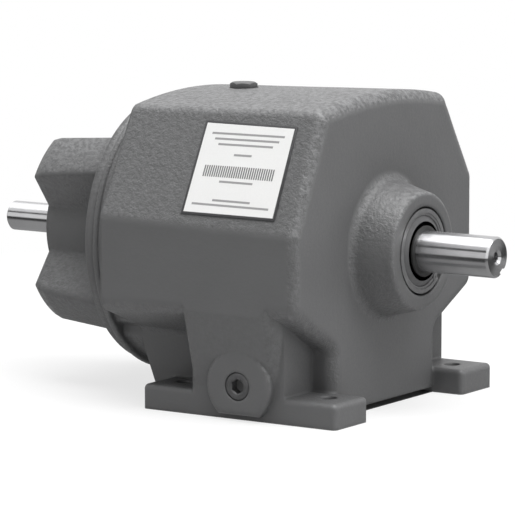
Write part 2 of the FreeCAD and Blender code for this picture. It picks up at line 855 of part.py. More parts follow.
def bored_gear(gear, x_range, bore, rim_radius_inner, hub_radius_outer, key, centre):
    """A gear blank with its bore, keyway and a recess turned in both faces."""
    gear = gear.cut(rod(x_range[0] - 1, x_range[1] + 1, bore + seat_clearance, centre))
    rear, front = x_range
    for start, end in ((rear - 1, rear + gear_web_recess), (front - gear_web_recess, front + 1)):
        gear = gear.cut(tube(start, end, rim_radius_inner, hub_radius_outer, centre))
    middle = (rear + front) / 2
    slot = key_block((key[0], key[1], front - rear + 2), middle, bore, centre)
    return gear.cut(slot)


def keyseat(size, length, end_x, inward, radius, turn, centre=MAIN):
    """An open keyway slot at a shaft end, turned about the shaft."""
    start, stop = sorted((end_x, end_x + inward * length))
    depth = size / 2
    slot = box((start, stop), (radius - depth, radius + depth), (-size / 2, size / 2))
    slot.rotate(Vector(0, 0, 0), X_AXIS, turn)
    slot.translate(Vector(0, centre[0], centre[1]))
    return slot


def output_shaft():
    """The output shaft, stepped down to its free end, with keyways and a tapped end hole."""
    journal = OUTPUT_FRONT[0] / 2
    rear_seat = OUTPUT_REAR[0] / 2
    rear_end = output_rear_x - clip_thickness * 3
    step_x = boss_face_x + journal_step
    shaft = stepped_shaft([
        (rear_end, 0.0),
        (output_rear_bearing_front_x, rear_seat),
        (output_gear_rear_x, output_collar_radius),
        (output_gear_front_x, output_gear_seat_radius),
        (step_x, journal),
        (output_end_x - shaft_chamfer, output_shaft_radius),
    ])
    tip = Part.makeCone(output_shaft_radius, output_shaft_radius - shaft_chamfer, shaft_chamfer,
                        Vector(output_end_x - shaft_chamfer, 0, shaft_height), X_AXIS)
    shaft = shaft.fuse(tip).removeSplitter()
    clip_x = output_rear_x - clip_thickness
    shaft = shaft.cut(tube(clip_x, output_rear_x, rear_seat + 1, rear_seat - clip_groove_depth))
    width, length = OUTPUT_KEYWAY
    shaft = shaft.cut(keyseat(width, length, output_end_x + 1, -1, output_shaft_radius, output_keyway_angle))
    shaft = shaft.cut(rod(output_end_x - end_hole_depth, output_end_x + 1, end_hole_radius))
    mouth = Part.makeCone(end_hole_radius, end_hole_radius + end_hole_countersink, end_hole_countersink,
                          Vector(output_end_x - end_hole_countersink, 0, shaft_height), X_AXIS)
    shaft = shaft.cut(mouth)
    middle = (output_gear_rear_x + output_gear_front_x) / 2
    return shaft.cut(key_block(grown(OUTPUT_GEAR_KEY, near), middle, output_gear_seat_radius, MAIN))


def output_gear():
    """The large gear of the second stage."""
    x_range = (output_gear_rear_x, output_gear_front_x)
    mesh_x = sum(x_range) / 2
    tooth_angle = mesh_angle + math.pi / output_gear_teeth
    gear = helical_gear(output_gear_teeth, -second_stage_shift, -1, tooth_angle,
                        x_range, mesh_x, MAIN, gear_sections)
    pitch_radius = output_gear_teeth * transverse_module / 2
    rim_inner = pitch_radius - gear_rim_depth
    hub_outer = output_gear_seat_radius + gear_hub_wall
    return bored_gear(gear, x_range, output_gear_seat_radius, rim_inner, hub_outer, OUTPUT_GEAR_KEY, MAIN)


def output_gear_key():
    middle = (output_gear_rear_x + output_gear_front_x) / 2
    return key_block(OUTPUT_GEAR_KEY, middle, output_gear_seat_radius, MAIN)


def output_spacer():
    """The sleeve between the output gear and the front bearing."""
    inner = OUTPUT_FRONT[0] / 2 + seat_clearance
    return tube(output_gear_front_x, output_front_x, output_spacer_radius, inner)


def shaft_clip(x_start, seat_radius, gap_turn):
    """An external retaining ring with its open gap."""
    inner = seat_radius - clip_groove_depth + near
    ring = tube(x_start, x_start + clip_thickness - near, seat_radius + clip_outer_step, inner)
    gap = box((x_start - 1, x_start + 3), (0, far), (-inner / 4, inner / 4))
    gap.rotate(Vector(0, 0, 0), X_AXIS, gap_turn)
    gap.translate(Vector(0, 0, shaft_height))
    return ring.cut(gap)


def bore_ring(x_start, bore_radius, gap_turn):
    """An internal retaining ring with an open gap and round ears."""
    outer = bore_radius + ring_groove_depth - near
    ring = tube(x_start, x_start + ring_thickness, outer, bore_radius - ring_inner_step)
    ears = []
    holes = []
    for turn in (gap_turn - ring_ear_angle, gap_turn + ring_ear_angle):
        place = around_main(bore_radius - ring_ear_radius, turn)
        ears.append(rod(x_start, x_start + ring_thickness, ring_ear_radius, place))
        holes.append(rod(x_start - 1, x_start + ring_thickness + 1, ring_ear_hole_radius, place))
    ring = fused([ring] + ears)
    for hole in holes:
        ring = ring.cut(hole)
    reach = 2 * outer
    side = reach * math.tan(math.radians(ring_gap_angle))
    wedge = prism([(0, 0), (reach, side), (reach, -side)], x_start - 1, x_start + ring_thickness + 1)
    wedge.rotate(Vector(0, 0, 0), X_AXIS, gap_turn)
    wedge.translate(Vector(0, 0, shaft_height))
    return ring.cut(wedge)


def seal_case(x_range, bore_radius, open_side):
    """The pressed steel case of a shaft seal: an outer wall and a face."""
    inner = bore_radius * seal_opening_share
    wall = tube(x_range[0], x_range[1], bore_radius - near, bore_radius - seal_case_thickness)
    face_x = x_range[1] - seal_case_thickness if open_side > 0 else x_range[0]
    face = tube(face_x, face_x + seal_case_thickness, bore_radius - near, inner)
    return wall.fuse(face).removeSplitter()


def seal_lip(x_range, bore_radius, shaft_radius, open_side):
    """The rubber body of a shaft seal with a lip that narrows towards the shaft."""
    inner = bore_radius * seal_opening_share
    lip = shaft_radius + lip_clearance
    low, high = x_range
    if open_side > 0:
        face, back = high - seal_case_thickness, low
    else:
        face, back = low + seal_case_thickness, high
    body = bore_radius - seal_case_thickness - near
    middle = (face + back) / 2
    return turned([
        (face, body),
        (back, body),
        (back, body - seal_case_thickness),
        (middle, inner),
        (back, lip + seal_case_thickness),
        (back, lip),
        (middle, lip),
        (face + open_side * seal_rubber_rise, inner - near),
        (face, inner - near),
    ])


def output_seal_range():
    front = boss_face_x - ring_depth - near
    return (front - seal_width, front)


def input_seal_range():
    rear = bracket_rear_x + ring_depth + near
    return (rear, rear + seal_width)


def counter_pinion_shaft():
    """The countershaft with its own pinion cut on it."""
    pinion = (output_gear_rear_x - pinion_overhang, output_gear_front_x + pinion_overhang)
    mesh_x = (output_gear_rear_x + output_gear_front_x) / 2
    seat = COUNTER[0] / 2
    root = counter_pinion_teeth * transverse_module / 2 - (dedendum - second_stage_shift) * normal_module
    rear = stepped_shaft([
        (counter_rear_x, 0.0),
        (counter_gear_rear_x, seat),
        (counter_gear_front_x, counter_body_radius),
        (counter_gear_front_x + counter_collar_length, counter_collar_radius),
        (pinion[0], counter_body_radius),
    ], COUNTER_AXIS)
    front = stepped_shaft([
        (pinion[1], 0.0),
        (counter_front_x, root),
        (counter_front_x + COUNTER[2], seat),
    ], COUNTER_AXIS)
    teeth = helical_gear(counter_pinion_teeth, second_stage_shift, 1, mesh_angle + math.pi,
                         pinion, mesh_x, COUNTER_AXIS, pinion_sections)
    shaft = fused([rear, teeth, front])
    middle = (counter_gear_rear_x + counter_gear_front_x) / 2
    return shaft.cut(key_block(grown(COUNTER_GEAR_KEY, near), middle, counter_body_radius, COUNTER_AXIS))


def counter_gear():
    """The large gear of the first stage, keyed to the countershaft."""
    x_range = (counter_gear_rear_x, counter_gear_front_x)
    mesh_x = sum(x_range) / 2
    tooth_angle = mesh_angle + math.pi + math.pi / counter_gear_teeth
    gear = helical_gear(counter_gear_teeth, -first_stage_shift, 1, tooth_angle,
                        x_range, mesh_x, COUNTER_AXIS, gear_sections)
    pitch_radius = counter_gear_teeth * transverse_module / 2
    rim_inner = pitch_radius - gear_rim_depth
    hub_outer = counter_body_radius + gear_hub_wall
    return bored_gear(gear, x_range, counter_body_radius, rim_inner, hub_outer,
                      COUNTER_GEAR_KEY, COUNTER_AXIS)


def counter_gear_key():
    middle = (counter_gear_rear_x + counter_gear_front_x) / 2
    return key_block(COUNTER_GEAR_KEY, middle, counter_body_radius, COUNTER_AXIS)


def counter_spacer():
    """The sleeve between the countershaft gear and its rear bearing."""
    start = counter_rear_x + COUNTER[2]
    inner = COUNTER[0] / 2 + seat_clearance
    return tube(start, counter_gear_rear_x, inner + spacer_wall, inner, COUNTER_AXIS)


def input_pinion_shaft():
    """The input shaft with its pinion cut on the inner end."""
    seat = INPUT[0] / 2
    collar_front_x = input_front_bearing_front_x + input_collar_length
    root = input_pinion_teeth * transverse_module / 2 - (dedendum - first_stage_shift) * normal_module
    step_x = bracket_rear_x - journal_step
    shaft = stepped_shaft([
        (input_end_x + shaft_chamfer, 0.0),
        (step_x, input_shaft_radius),
        (input_front_bearing_front_x, seat),
        (collar_front_x, input_collar_radius),
        (input_pinion_rear_x, root),
    ])
    tip = Part.makeCone(input_shaft_radius - shaft_chamfer, input_shaft_radius, shaft_chamfer,
                        Vector(input_end_x, 0, shaft_height), X_AXIS)
    pinion = (input_pinion_rear_x, input_pinion_front_x)
    mesh_x = (counter_gear_rear_x + counter_gear_front_x) / 2
    teeth = helical_gear(input_pinion_teeth, first_stage_shift, -1, mesh_angle,
                         pinion, mesh_x, MAIN, pinion_sections)
    shaft = fused([shaft, tip, teeth])
    clip_x = input_rear_bearing_rear_x - clip_thickness
    shaft = shaft.cut(tube(clip_x, input_rear_bearing_rear_x, seat + 1, seat - clip_groove_depth))
    width, length = INPUT_KEYWAY
    return shaft.cut(keyseat(width, length, input_end_x - 1, 1, input_shaft_radius, output_keyway_angle))


def input_spacer():
    """The sleeve between the two input bearings."""
    inner = INPUT[0] / 2 + seat_clearance
    return tube(input_rear_bearing_rear_x + INPUT[2], input_front_x, inner + spacer_wall, inner)


def ball_bearing(size, x_rear, centre):
    """The four pieces of a deep-groove ball bearing: outer race, inner race, balls and cage."""
    bore, outside, width, ball_radius, count = size
    pitch_radius = (bore + outside) / 4
    middle = x_rear + width / 2
    land = race_land_share * ball_radius
    place = Vector(middle, centre[0], centre[1])
    groove = Part.makeTorus(pitch_radius, ball_radius + ball_clearance, place, X_AXIS)
    outer = tube(x_rear, x_rear + width, outside / 2, pitch_radius + land, centre).cut(groove)
    inner = tube(x_rear, x_rear + width, pitch_radius - land, bore / 2 + seat_clearance, centre).cut(groove)
    band = cage_band_share * ball_radius
    reach = cage_width_share * ball_radius
    cage = tube(middle - reach, middle + reach, pitch_radius + band, pitch_radius - band, centre)
    balls = []
    for step in range(count):
        turn = 2 * math.pi * step / count
        spot = place + Vector(0, pitch_radius * math.cos(turn), pitch_radius * math.sin(turn))
        balls.append(Part.makeSphere(ball_radius, spot))
        cage = cage.cut(Part.makeSphere(ball_radius + ball_clearance, spot))
    return {"outer_race": outer, "inner_race": inner, "balls": Part.makeCompound(balls), "cage": cage}


BEARINGS = {
    "output_front": (OUTPUT_FRONT, output_front_x, MAIN),
    "output_rear": (OUTPUT_REAR, output_rear_x, MAIN),
    "counter_front": (COUNTER, counter_front_x, COUNTER_AXIS),
    "counter_rear": (COUNTER, counter_rear_x, COUNTER_AXIS),
    "input_front": (INPUT, input_front_x, MAIN),
    "input_rear": (INPUT, input_rear_bearing_rear_x, MAIN),
}


def all_nodes():
    """Every piece of the reducer by its node name."""
    output_bore = OUTPUT_FRONT[1] / 2
    input_bore = INPUT[1] / 2
    nodes = {
        "gear_housing": gear_housing(),
        "input_bracket": input_bracket(),
        "bracket_gasket": bracket_gasket(),
        "bracket_screws": bracket_screws(),
        "bracket_lock_washers": bracket_lock_washers(),
        "bracket_dowel_pins": bracket_dowel_pins(),
        "center_plate": center_plate(),
        "center_plate_screws": center_plate_screws(),
        "fill_plug": fill_plug(),
        "drain_plug": drain_plug(),
        "nameplate": nameplate(),
        "output_seal_case": seal_case(output_seal_range(), output_bore, 1),
        "output_seal_lip": seal_lip(output_seal_range(), output_bore, OUTPUT_FRONT[0] / 2, 1),
        "output_retaining_ring": bore_ring(boss_face_x - ring_depth, output_bore, -35),
        "input_seal_case": seal_case(input_seal_range(), input_bore, -1),
        "input_seal_lip": seal_lip(input_seal_range(), input_bore, INPUT[0] / 2, -1),
        "input_retaining_ring": bore_ring(bracket_rear_x + ring_setback, input_bore, -90),
        "output_shaft": output_shaft(),
        "output_gear": output_gear(),
        "output_gear_key": output_gear_key(),
        "output_spacer": output_spacer(),
        "output_shaft_clip": shaft_clip(output_rear_x - clip_thickness, OUTPUT_REAR[0] / 2, 90),
        "counter_pinion_shaft": counter_pinion_shaft(),
        "counter_gear": counter_gear(),
        "counter_gear_key": counter_gear_key(),
        "counter_spacer": counter_spacer(),
        "input_pinion_shaft": input_pinion_shaft(),
        "input_spacer": input_spacer(),
        "input_shaft_clip": shaft_clip(input_rear_bearing_rear_x - clip_thickness, INPUT[0] / 2, 90),
    }
    for name, (size, x_rear, centre) in BEARINGS.items():
        for piece, shape in ball_bearing(size, x_rear, centre).items():
            nodes[name + "_" + piece] = shape
    return nodes


os.makedirs("parts", exist_ok=True)
for node, shape in all_nodes().items():
    print(node, len(shape.Solids), round(shape.Volume), shape.isValid())
    shape.exportStep("parts/" + node + ".step")
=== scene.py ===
import json
import math

import bmesh
import bpy
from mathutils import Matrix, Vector


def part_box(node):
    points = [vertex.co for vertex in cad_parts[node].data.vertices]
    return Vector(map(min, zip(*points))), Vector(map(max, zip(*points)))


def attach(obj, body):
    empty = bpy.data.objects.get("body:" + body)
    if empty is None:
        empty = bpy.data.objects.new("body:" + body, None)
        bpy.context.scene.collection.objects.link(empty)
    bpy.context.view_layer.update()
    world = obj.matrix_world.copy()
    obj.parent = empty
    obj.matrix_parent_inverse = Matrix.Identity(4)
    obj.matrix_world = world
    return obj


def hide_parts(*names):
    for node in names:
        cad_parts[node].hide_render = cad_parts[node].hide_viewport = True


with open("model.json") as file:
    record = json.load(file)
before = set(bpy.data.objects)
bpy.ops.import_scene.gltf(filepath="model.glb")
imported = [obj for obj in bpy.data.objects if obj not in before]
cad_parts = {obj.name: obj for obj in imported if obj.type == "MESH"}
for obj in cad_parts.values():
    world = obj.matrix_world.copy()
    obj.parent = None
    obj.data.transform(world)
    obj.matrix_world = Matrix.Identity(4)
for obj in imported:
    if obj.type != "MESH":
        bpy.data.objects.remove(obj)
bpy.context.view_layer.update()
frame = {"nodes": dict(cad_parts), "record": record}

# The looks of the helical gear reducer, in metres, in the frame of its solids.
# +X runs along the shafts towards the output end, +Z is up, -Y is the label side.

# Camera
camera_azimuth = math.radians(33.4)
camera_elevation = math.radians(8.005)
camera_distance = 2.5134
camera_target = Vector((-0.0467, 0.0, 0.0846))
camera_lens = 279.6
camera_sensor = 36.0
camera_sight = 100.0

# Surround and floor
world_fill = 0.46
floor_reach = 14.0
floor_level = -0.0002
floor_colour = 0.8
floor_roughness = 0.9
floor_white_near = 0.72
floor_white_far = 1.0
floor_near = 0.3
floor_far = 0.7
# Painted shadow: inside this box under the middle of the object the floor is painted dark grey and does not
# glow
under_middle = (-0.006, 0.0)
under_half = (0.054, 0.058)
under_shadow_grey = 0.15

# Lamps: the name, place, size and power of each
lamp_aim = (-0.05, 0.0, 0.1)
lamps = (
    ("top_lamp", (-0.3, 0.0, 1.35), 1.3, 9.7),
    ("over_lamp", (0.35, -0.1, 1.4), 1.2, 27.0),
    ("level_lamp", (1.9, 0.3, 0.4), 0.9, 7.8),
)

# Cards that bright metal mirrors: each grey goes with a share of the way from the middle line to the edge
floor_card_place = (0.0, 0.0, 0.0008)
floor_card_size = (3.2, 4.0)
floor_card_turn = (0.0, 0.0, 0.0)
floor_card_greys = ((0.0, 0.4), (0.09, 0.4), (0.13, 0.05), (0.9, 0.05), (1.0, 0.2))
high_card_place = (-0.6, -1.0, 0.8)
high_card_size = (3.2, 0.3)
high_card_turn = (math.pi / 2, 0.0, 0.0)
high_card_greys = ((0.0, 0.04), (1.0, 0.04))

# Noise lies mostly between these two values
noise_low = 0.3
noise_high = 0.7

# Paint
paint_grey = (0.088, 0.0885, 0.09)
paint_shade = 0.84
paint_tint = 1.14
paint_gloss = (0.42, 0.56)
flat_shade = 0.97
flat_tint = 1.03
flat_grain = 0.16
flat_facing = (0.93, 0.995)
# Painted highlight: level faces and the crown's rounded front edge are painted lighter, with stronger grain
highlight_grain_shade = 0.8
highlight_grain_tint = 1.6
highlight_grain_low = 0.4
highlight_grain_high = 0.6
level_facing = (0.45, 0.95)
front_round_facing = (0.1, 0.3)
sand_size = 0.0012
sand_depth = 0.0003
pebble_size = 0.003
pebble_depth = 0.0007
wave_size = 0.03
wave_depth = 0.0006
wave_strength = 0.4
cast_edge = 0.003
bracket_edge = 0.007
edge_samples = 8
# Painted shade: the paint is darkened in pockets, grooves and inner corners of the same piece
recess_reach = 0.045
recess_samples = 6
recess_low = 0.7
recess_high = 0.95
painted_recess_shade = 0.86
foot_top = 0.0155
rail_smoothness = 0.85

# Ground shafts
grinding_smear = 0.95
quarter_turn = 0.25
line_size = 0.0004
line_stretch = (1.0, 0.02, 0.02)
line_gloss = 0.05
line_depth = 0.00001
line_strength = 0.04
cloud_size = 0.02
cloud_shade = 0.9

# Plain finishes
fleck_size = 0.004
fleck_shade = 0.78
fleck_gloss = 0.2
fleck_depth = 0.00005
fleck_strength = 0.5

# Label: each rule is a height and half a length
# The label's dark border round the film is painted shadow
label_border = 0.0016
label_depth = 0.0005
label_rules = (
    (0.0225, 0.0265), (0.019, 0.0235), (0.0155, 0.02), (0.009, 0.0065),
    (-0.0085, 0.012), (-0.0205, 0.0135), (-0.0235, 0.0275),
)
rule_half = 0.0007
band_height = -0.002
band_half = 0.0037
band_half_length = 0.0255
stripe_pitch = 0.0016
stripe_gap = stripe_pitch / 5
film_white = (0.64, 0.64, 0.635)
film_shade = 0.96
film_gloss = (0.35, 0.45)
film_grain = 0.0008
film_grey = (0.24, 0.24, 0.24)
band_ink = 0.5
border_shadow_grey = (0.035, 0.035, 0.037)
border_roughness = 0.45
film_flatness = math.radians(8.0)
film_facing = 0.9

# Shaping
round_sides = 64
fine_sides = 128
rim_sides = 160
plug_sides = 96
shank_sides = 32
hex_sides = 6
hex_corner = 2 / math.sqrt(3)
edge_break = 0.00015
edge_angle = math.radians(25.0)
smooth_angle = math.radians(32.0)
merge_distance = 0.00001

# A cutting tool reaches a little past a face, or right through the piece
past = 0.001
through = 1.0

# Filler plug, screws and washers
chamfer_share = 0.475
chamfer_run = math.sqrt(3)
fill_head_width = 0.015
fill_head_height = 0.0037
fill_shank_radius = 0.0064
screw_head_width = 0.0111
screw_head_height = 0.0043
screw_shank_radius = 0.0029
screw_circle = 0.07
screw_count = 4
screw_turn = math.radians(23.0)
washer_radius = 0.006
washer_bore = 0.0032
washer_thickness = 0.0016
washer_gap = 0.0011
washer_slant = math.radians(35.0)
washer_turn = math.radians(50.0)

# Drain plug
drain_radius = 0.0088
drain_chamfer = 0.0011
drain_length = 0.0118
drain_socket_width = 0.008
drain_socket_depth = 0.006
mouth_depth = 0.0011
mouth_rise = 0.0001
mouth_low_share = 0.8
mouth_high_share = 1.12

# Output seal and retaining ring, measured from the boss face
ring_setback = 0.0013
ring_shrink = 0.9
ring_shift = 0.0011
journal_radius = 0.01505
shaft_room_radius = 0.01275
seal_rubber_radius = 0.0219
seal_rubber_depth = 0.009
seal_rubber_sink = 0.0014
slope_radius = 0.0184
slope_rise = 0.0004
lip_gap_depth = 0.006
dust_lip_radius = 0.0157
dust_lip_rise = 0.0016
dust_lip_wall = 0.0005
dust_lip_round = 0.0002
seal_case_radius = 0.0242
seal_case_depth = 0.009
seal_case_sink = 0.0006
seal_case_round = 0.0006
seal_round_segments = 3

# Band at the rear rim
rim_band_radius = 0.0878
rim_band_wall = 0.005
rim_band_drop = 0.03
rim_band_round = 0.0006
rim_band_length = 0.0138
rim_flange_length = 0.0045


# Finishes


def start_finish(name):
    """A new node material with a shader and a reader of Object coordinates."""
    finish = bpy.data.materials.new(name)
    finish.use_nodes = True
    tree = finish.node_tree
    shader = tree.nodes["Principled BSDF"]
    place = tree.nodes.new("ShaderNodeTexCoord").outputs["Object"]
    return finish, tree, shader, place


def grey(level):
    """A plain grey."""
    return (level, level, level)


def scaled(colour, share):
    """A colour made darker or lighter by a share."""
    return tuple(part * share for part in colour)


def stretched(tree, place, scale):
    """Object coordinates scaled by a different amount along each axis."""
    mapping = tree.nodes.new("ShaderNodeMapping")
    mapping.inputs["Scale"].default_value = scale
    tree.links.new(place, mapping.inputs["Vector"])
    return mapping.outputs["Vector"]


def noise(tree, place, size, detail=3.0, rough=0.5):
    """Soft noise whose lumps are about the given size in metres."""
    texture = tree.nodes.new("ShaderNodeTexNoise")
    texture.inputs["Scale"].default_value = 1.0 / size
    texture.inputs["Detail"].default_value = detail
    texture.inputs["Roughness"].default_value = rough
    tree.links.new(place, texture.inputs["Vector"])
    return texture.outputs["Fac"]


def spread(tree, value, low, high, out_low, out_high):
    """A value moved from one range to another."""
    node = tree.nodes.new("ShaderNodeMapRange")
    for socket, number in zip(("From Min", "From Max", "To Min", "To Max"), (low, high, out_low, out_high)):
        node.inputs[socket].default_value = number
    tree.links.new(value, node.inputs["Value"])
    return node.outputs["Result"]


def maths(tree, operation, first, second):
    """One step of arithmetic on two values, each a socket or a number."""
    node = tree.nodes.new("ShaderNodeMath")
    node.operation = operation
    for socket, value in zip(node.inputs, (first, second)):
        if isinstance(value, (int, float)):
            socket.default_value = value
        else:
            tree.links.new(value, socket)
    return node.outputs[0]


def across(tree, place, direction):
    """How far a place lies along a direction."""
    node = tree.nodes.new("ShaderNodeVectorMath")
    node.operation = "DOT_PRODUCT"
    node.inputs[1].default_value = direction
    tree.links.new(place, node.inputs[0])
    return node.outputs["Value"]


def distance_from_middle(tree, place):
    """How far a place lies from the origin."""
    node = tree.nodes.new("ShaderNodeVectorMath")
    node.operation = "LENGTH"
    tree.links.new(place, node.inputs[0])
    return node.outputs["Value"]


def bar(tree, along, up, middle, half):
    """One where a point is inside a flat bar and nought outside it."""
    sides = []
    for value, centre, reach in zip((along, up), middle, half):
        node = tree.nodes.new("ShaderNodeMath")
        node.operation = "COMPARE"
        tree.links.new(value, node.inputs[0])
        node.inputs[1].default_value = centre
        node.inputs[2].default_value = reach
        sides.append(node.outputs[0])
    return maths(tree, "MULTIPLY", *sides)


def colours(tree, value, stops):
    """A colour band along a value: each stop is a position and a colour."""
    ramp = tree.nodes.new("ShaderNodeValToRGB")
    band = ramp.color_ramp
    while len(band.elements) < len(stops):
        band.elements.new(0.5)
    for element, (position, colour) in zip(band.elements, stops):
        element.position = position
        element.color = (*colour, 1.0)
    tree.links.new(value, ramp.inputs["Fac"])
    return ramp.outputs["Color"]


def blended(tree, share, first, second):
    """Two colours blended by a share, each a socket or a colour."""
    node = tree.nodes.new("ShaderNodeMix")
    node.data_type = "RGBA"
    tree.links.new(share, node.inputs["Factor"])
    for name, colour in (("A", first), ("B", second)):
        if isinstance(colour, tuple):
            node.inputs[name].default_value = (*colour, 1.0)
        else:
            tree.links.new(colour, node.inputs[name])
    return node.outputs["Result"]


def bump(tree, height, depth, under=None, strength=1.0):
    """A bump of the given depth in metres, over another bump where one is named."""
    node = tree.nodes.new("ShaderNodeBump")
    node.inputs["Distance"].default_value = depth
    if isinstance(strength, float):
        node.inputs["Strength"].default_value = strength
    else:
        tree.links.new(strength, node.inputs["Strength"])
    tree.links.new(height, node.inputs["Height"])
    if under is not None:
        tree.links.new(under, node.inputs["Normal"])
    return node.outputs["Normal"]


def softened(tree, radius):
    """The surface normal with every edge rounded over."""
    node = tree.nodes.new("ShaderNodeBevel")
    node.samples = edge_samples
    node.inputs["Radius"].default_value = radius
    return node.outputs["Normal"]


def facing_parts(tree):
    """How far a surface faces along each axis."""
    facing = tree.nodes.new("ShaderNodeTexCoord").outputs["Normal"]
    parts = tree.nodes.new("ShaderNodeSeparateXYZ")
    tree.links.new(facing, parts.inputs["Vector"])
    return parts.outputs


def squareness(tree):
    """How squarely a surface faces along X or Y: 1 on front and sides, 0 on slopes, rounds and the top."""
    parts = facing_parts(tree)
    lengthwise = maths(tree, "ABSOLUTE", parts["X"], 0.0)
    sideways = maths(tree, "ABSOLUTE", parts["Y"], 0.0)
    return spread(tree, maths(tree, "MAXIMUM", lengthwise, sideways), *flat_facing, 0.0, 1.0)


def painted_highlight(tree):
    """How much painted highlight a surface gets, as a lighter tone with stronger grain: most on level faces
    and on the crown's rounded front edge.
    """
    parts = facing_parts(tree)
    top = spread(tree, parts["Z"], *level_facing, 0.0, 1.0)
    forward_and_up = maths(tree, "MULTIPLY", parts["X"], parts["Z"])
    front_round = spread(tree, forward_and_up, *front_round_facing, 0.0, 1.0)
    return maths(tree, "MAXIMUM", top, front_round)


def lowness(tree, place):
    """How near a place is to the foot rails: high on them, nought from twice their height up."""
    height = across(tree, place, (0.0, 0.0, 1.0))
    return spread(tree, height, foot_top, 2 * foot_top, rail_smoothness, 0.0)


def openness(tree):
    """How open a place is: 1 on outer faces, less in pockets, grooves and inner corners of the same piece;
    the paint gets painted shade where it is low.
    """
    node = tree.nodes.new("ShaderNodeAmbientOcclusion")
    node.only_local = True
    node.samples = recess_samples
    node.inputs["Distance"].default_value = recess_reach
    return spread(tree, node.outputs["AO"], recess_low, recess_high, 0.0, 1.0)


def cast_paint(name, edge):
    """Satin grey paint over a sand casting, smooth on flat faces, rough on slopes, rounds and the top, with
    painted highlight on level faces and the crown's front round and painted shade in recesses.
    """
    finish, tree, shader, place = start_finish(name)
    sand = noise(tree, place, sand_size, detail=2.0, rough=0.55)
    pebbles = noise(tree, place, pebble_size, detail=3.0, rough=0.6)
    waves = noise(tree, place, wave_size, detail=2.0)
    flat = maths(tree, "MAXIMUM", squareness(tree), lowness(tree, place))
    rough_tone = [(noise_low, scaled(paint_grey, paint_shade)), (noise_high, scaled(paint_grey, paint_tint))]
    highlight_grain_tone = [(highlight_grain_low, scaled(paint_grey, highlight_grain_shade)), (highlight_grain_high, scaled(paint_grey, highlight_grain_tint))]
    flat_tone = [(noise_low, scaled(paint_grey, flat_shade)), (noise_high, scaled(paint_grey, flat_tint))]
    rough = colours(tree, pebbles, rough_tone)
    # Painted highlight: level faces and the crown's rounded front edge get a lighter tone with stronger grain
    tone = blended(tree, painted_highlight(tree), rough, colours(tree, pebbles, highlight_grain_tone))
    tone = blended(tree, flat, tone, colours(tree, waves, flat_tone))
    # Painted shade: darker paint in pockets, grooves and inner corners
    tone = blended(tree, openness(tree), scaled(paint_grey, painted_recess_shade), tone)
    tree.links.new(tone, shader.inputs["Base Color"])
    tree.links.new(spread(tree, sand, noise_low, noise_high, *paint_gloss), shader.inputs["Roughness"])
    grain = spread(tree, flat, 0.0, 1.0, 1.0, flat_grain)
    normal = bump(tree, waves, wave_depth, softened(tree, edge), wave_strength)
    normal = bump(tree, pebbles, pebble_depth, normal, grain)
    normal = bump(tree, sand, sand_depth, normal, grain)
    tree.links.new(normal, shader.inputs["Normal"])
    return finish


def vary_roughness(tree, shader, value, rough, change):
    """Let a shader's roughness go up and down by a share as a noise does."""
    roughness = spread(tree, value, noise_low, noise_high, rough * (1 - change), rough * (1 + change))
    tree.links.new(roughness, shader.inputs["Roughness"])


def turned_steel(name, colour, rough):
    """Bright steel with fine marks that run round the X axis and smear what it mirrors."""
    finish, tree, shader, place = start_finish(name)
    shader.inputs["Metallic"].default_value = 1.0
    shader.inputs["Anisotropic"].default_value = grinding_smear
    shader.inputs["Anisotropic Rotation"].default_value = quarter_turn
    round_axis = tree.nodes.new("ShaderNodeTangent")
    round_axis.direction_type = "RADIAL"
    round_axis.axis = "X"
    tree.links.new(round_axis.outputs["Tangent"], shader.inputs["Tangent"])
    lines = noise(tree, stretched(tree, place, line_stretch), line_size, detail=2.0)
    clouds = noise(tree, place, cloud_size, detail=2.0)
    tones = [(noise_low, scaled(colour, cloud_shade)), (noise_high, colour)]
    tree.links.new(colours(tree, clouds, tones), shader.inputs["Base Color"])
    vary_roughness(tree, shader, lines, rough, line_gloss)
    tree.links.new(bump(tree, lines, line_depth, strength=line_strength), shader.inputs["Normal"])
    return finish


def plain_finish(name, colour, rough, metal):
    """A finish with soft clouding in its colour and shine."""
    finish, tree, shader, place = start_finish(name)
    shader.inputs["Metallic"].default_value = metal
    flecks = noise(tree, place, fleck_size)
    tones = [(noise_low, scaled(colour, fleck_shade)), (noise_high, colour)]
    tree.links.new(colours(tree, flecks, tones), shader.inputs["Base Color"])
    vary_roughness(tree, shader, flecks, rough, fleck_gloss)
    tree.links.new(bump(tree, flecks, fleck_depth, strength=fleck_strength), shader.inputs["Normal"])
    return finish


def label_finish(middle, up):
    """Pale film with plain printed rules and no words."""
    finish, tree, shader, place = start_finish("ruled_film")
    along = maths(tree, "SUBTRACT", across(tree, place, (1.0, 0.0, 0.0)), middle.x)
    rise = maths(tree, "SUBTRACT", across(tree, place, up), middle.dot(up))
    rules = 0.0
    for height, half_length in label_rules:
        rule = bar(tree, along, rise, (0.0, height), (half_length, rule_half))
        rules = maths(tree, "MAXIMUM", rules, rule)
    band = bar(tree, along, rise, (0.0, band_height), (band_half_length, band_half))
    stripes = maths(tree, "PINGPONG", along, stripe_pitch / 2)
    band = maths(tree, "MULTIPLY", band, maths(tree, "GREATER_THAN", stripes, stripe_gap))
    grain = noise(tree, place, film_grain, detail=2.0)
    film = colours(tree, grain, [(noise_low, scaled(film_white, film_shade)), (noise_high, film_white)])
    for mask, ink in ((rules, film_grey), (band, scaled(film_grey, band_ink))):
        film = blended(tree, mask, film, ink)
    tree.links.new(film, shader.inputs["Base Color"])
    tree.links.new(spread(tree, grain, noise_low, noise_high, *film_gloss), shader.inputs["Roughness"])
    return finish


